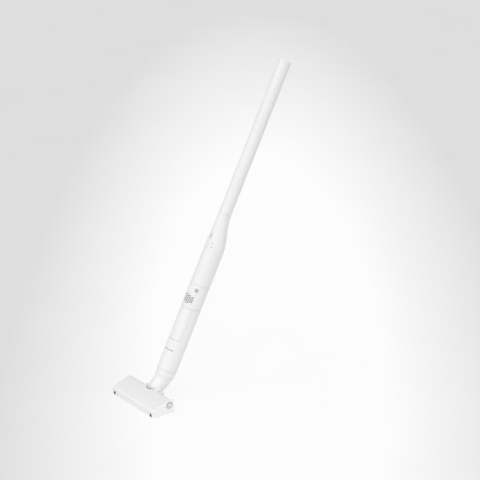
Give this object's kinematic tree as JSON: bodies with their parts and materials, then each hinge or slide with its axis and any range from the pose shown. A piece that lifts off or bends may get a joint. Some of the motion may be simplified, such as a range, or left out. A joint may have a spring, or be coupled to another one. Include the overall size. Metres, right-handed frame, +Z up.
{
  "type": "cordless stick vacuum",
  "caption": "Slim cordless stick vacuum with a steering floor head, front dust box, motor and battery body and an offset round handle tube.",
  "frame": {"origin": "on the floor, at the felt glide strip in the middle of the floor head's sole", "axes": "+X to the floor head's lock-knob end, -Y to its front, +Z up"},
  "size_m": [0.2507, 0.6857, 1.1319],
  "materials": {
    "shell_white": "satin moulded",
    "head_white": "satin moulded",
    "cap_white": "satin moulded",
    "base_grey": "fine textured",
    "knob_grey": "satin",
    "dark_plastic": "fine textured",
    "mid_plastic": "fine textured",
    "window_grey": "smooth",
    "light_guide": "clear moulded",
    "black_rubber": "moulded",
    "grey_rubber": "moulded",
    "steel": "drawn",
    "motor_steel": "plated",
    "contact_metal": "plated",
    "cell_wrap": "shrink wrapped",
    "board_green": "solder mask",
    "filter_paper": "pleated",
    "foam": "open cell foam",
    "felt": "felt",
    "bristle": "nylon tufts"
  },
  "bodies": {
    "stick": {"lower_housing": "shell_white", "housing_screws": "steel", "swivel_bush": "mid_plastic", "inlet_tube": "mid_plastic", "filter_seal": "grey_rubber", "button_springs": "steel", "motor_housing": "shell_white", "vent_grille": "shell_white", "status_window": "window_grey", "fan_motor": "motor_steel", "fan_shroud": "mid_plastic", "motor_mounts": "black_rubber", "exhaust_foam": "foam", "control_board": "board_green", "battery_housing": "shell_white", "charge_contacts": "contact_metal", "battery_case": "dark_plastic", "battery_cells": "cell_wrap", "cell_holders": "dark_plastic", "battery_board": "board_green", "handle_tube": "shell_white", "handle_end_cap": "shell_white", "charge_lights": "light_guide", "switch_board": "board_green", "signal_wire": "black_rubber"},
    "neck": {"neck_shell": "shell_white", "pivot_bushes": "mid_plastic", "swivel_spigot": "mid_plastic", "swivel_clip": "steel"},
    "head": {"head_top_cover": "head_white", "head_base": "base_grey", "head_screws": "steel", "head_left_cap": "cap_white", "head_right_cap": "cap_white", "brush_bearing_left": "steel", "brush_bearing_right": "steel", "brush_motor": "motor_steel", "drive_belt": "black_rubber", "roller_pins": "steel", "wheel_axles": "steel", "glide_strip": "felt", "squeegee_strip": "grey_rubber", "pivot_pins": "steel"},
    "brush": {"brush_core": "mid_plastic", "brush_bristles": "bristle", "brush_pulley": "dark_plastic"},
    "motor_pulley": {"motor_pulley": "steel"},
    "front_roller_left": {"front_roller_left": "dark_plastic"},
    "front_roller_right": {"front_roller_right": "dark_plastic"},
    "rear_wheel_left": {"rear_wheel_left": "grey_rubber"},
    "rear_wheel_right": {"rear_wheel_right": "grey_rubber"},
    "lock_knob": {"brush_lock_knob": "knob_grey"},
    "impeller": {"impeller": "dark_plastic"},
    "dust_box": {"dust_box": "shell_white", "filter_frame": "mid_plastic", "pleated_filter": "filter_paper"},
    "inlet_flap": {"inlet_flap": "black_rubber"},
    "release_button": {"release_button": "shell_white"},
    "power_button": {"power_button": "window_grey"}
  },
  "joints": [
    {"name": "neck_swivel", "type": "hinge", "parent": "stick", "child": "neck", "pos_m": [0, 0.0682, 0.0233], "axis": [0, 0.4602, 0.8878], "range_deg": [-80, 80]},
    {"name": "head_pitch", "type": "hinge", "parent": "neck", "child": "head", "pos_m": [0, 0.051, 0.032], "axis": [1, 0, 0], "range_deg": [-26, 43]},
    {"name": "brush_spin", "type": "hinge", "parent": "head", "child": "brush", "pos_m": [0, -0.018, 0.0142], "axis": [1, 0, 0], "continuous": true},
    {"name": "motor_pulley_spin", "type": "hinge", "parent": "head", "child": "motor_pulley", "pos_m": [0, 0.02, 0.021], "axis": [1, 0, 0], "continuous": true},
    {"name": "front_roller_left_spin", "type": "hinge", "parent": "head", "child": "front_roller_left", "pos_m": [-0.109, -0.0362, 0.007], "axis": [1, 0, 0], "continuous": true},
    {"name": "front_roller_right_spin", "type": "hinge", "parent": "head", "child": "front_roller_right", "pos_m": [0.109, -0.0362, 0.007], "axis": [1, 0, 0], "continuous": true},
    {"name": "rear_wheel_left_spin", "type": "hinge", "parent": "head", "child": "rear_wheel_left", "pos_m": [-0.0495, 0.057, 0.008], "axis": [1, 0, 0], "continuous": true},
    {"name": "rear_wheel_right_spin", "type": "hinge", "parent": "head", "child": "rear_wheel_right", "pos_m": [0.0495, 0.057, 0.008], "axis": [1, 0, 0], "continuous": true},
    {"name": "lock_knob_turn", "type": "hinge", "parent": "head", "child": "lock_knob", "pos_m": [0.125, 0.0266, 0.0326], "axis": [1, 0, 0], "range_deg": [0, 90]},
    {"name": "impeller_spin", "type": "hinge", "parent": "stick", "child": "impeller", "pos_m": [0, 0.0682, 0.0233], "axis": [0, 0.4602, 0.8878], "continuous": true},
    {"name": "dust_box_slide", "type": "slide", "parent": "stick", "child": "dust_box", "axis": [0, -0.8878, 0.4602], "range_m": [0, 0.075]},
    {"name": "inlet_flap_swing", "type": "hinge", "parent": "dust_box", "child": "inlet_flap", "pos_m": [0, 0.14094, 0.20839], "axis": [1, 0, 0], "range_deg": [0, 70]},
    {"name": "release_button_press", "type": "slide", "parent": "stick", "child": "release_button", "axis": [0, 0.8878, -0.4602], "range_m": [0, 0.0022], "stiffness_N_per_m": 700, "springref_m": -0.001},
    {"name": "power_button_press", "type": "slide", "parent": "stick", "child": "power_button", "axis": [0, 0.8878, -0.4602], "range_m": [0, 0.0012], "stiffness_N_per_m": 700, "springref_m": -0.001}
  ],
  "couplings": [
    {"joint": "motor_pulley_spin", "follows": "brush_spin", "ratio": 2}
  ]
}
